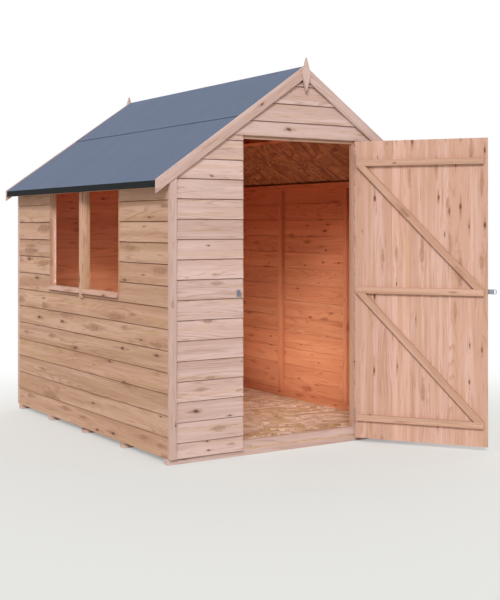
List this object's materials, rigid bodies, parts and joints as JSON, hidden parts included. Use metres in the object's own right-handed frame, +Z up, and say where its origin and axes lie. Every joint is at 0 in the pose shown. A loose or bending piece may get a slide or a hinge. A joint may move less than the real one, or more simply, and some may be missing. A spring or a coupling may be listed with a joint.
{
  "type": "wooden garden shed",
  "caption": "Apex-roofed garden shed of overlapped boards with a ledged hinged door, a fixed side window, felted roof and bearer floor.",
  "frame": {"origin": "middle of the middle floor bearer's underside, on the ground", "axes": "+Z up, the door side faces -Y, +X to the right seen from the front"},
  "size_m": [1.977, 3.0121, 2.3023],
  "materials": {
    "pine": "planed pine with knots, lightly pink",
    "inner_pine": "stained orange-red pine",
    "strand_board": "pressed wood strands",
    "roofing_felt": "blue-grey mineral felt",
    "black_iron": "black enamel",
    "zinc_plate": "zinc plated",
    "glass": "clear pane"
  },
  "bodies": {
    "shed": {"floor_bearers": "pine", "floor_panel": "strand_board", "front_wall_left": "pine", "front_wall_right": "pine", "front_gable": "pine", "back_wall": "pine", "left_wall": "pine", "right_wall": "pine", "threshold": "pine", "door_posts": "pine", "door_head": "pine", "front_studs": "inner_pine", "gable_rafters": "inner_pine", "back_studs": "inner_pine", "back_rails": "inner_pine", "left_studs": "inner_pine", "left_rails": "inner_pine", "right_studs": "inner_pine", "right_rails": "inner_pine", "window_mullion": "pine", "window_sill": "pine", "window_panes": "glass", "ridge_beam": "inner_pine", "purlins": "inner_pine", "roof_sheet_left": "strand_board", "roof_sheet_right": "strand_board", "eave_battens": "pine", "felt_left": "roofing_felt", "felt_right": "roofing_felt", "ridge_felt": "roofing_felt", "front_barge_boards": "pine", "back_barge_boards": "pine", "front_finial": "pine", "back_finial": "pine", "corner_trims": "pine", "hinge_plates": "black_iron", "staple": "zinc_plate"},
    "door": {"door_boards": "pine", "door_ledges": "pine", "door_braces": "pine", "hinge_straps": "black_iron", "hasp_plate": "zinc_plate"},
    "hasp": {"hasp": "zinc_plate"}
  },
  "joints": [
    {"name": "door_hinge", "type": "hinge", "parent": "shed", "child": "door", "pos_m": [0.3835, -1.1455, 0.92], "axis": [0, 0, 1], "range_deg": [-125, 35]},
    {"name": "hasp_hinge", "type": "hinge", "parent": "door", "child": "hasp", "pos_m": [0.83912, -1.79271, 0.929], "axis": [0, 0, 1], "range_deg": [0, 170]}
  ]
}
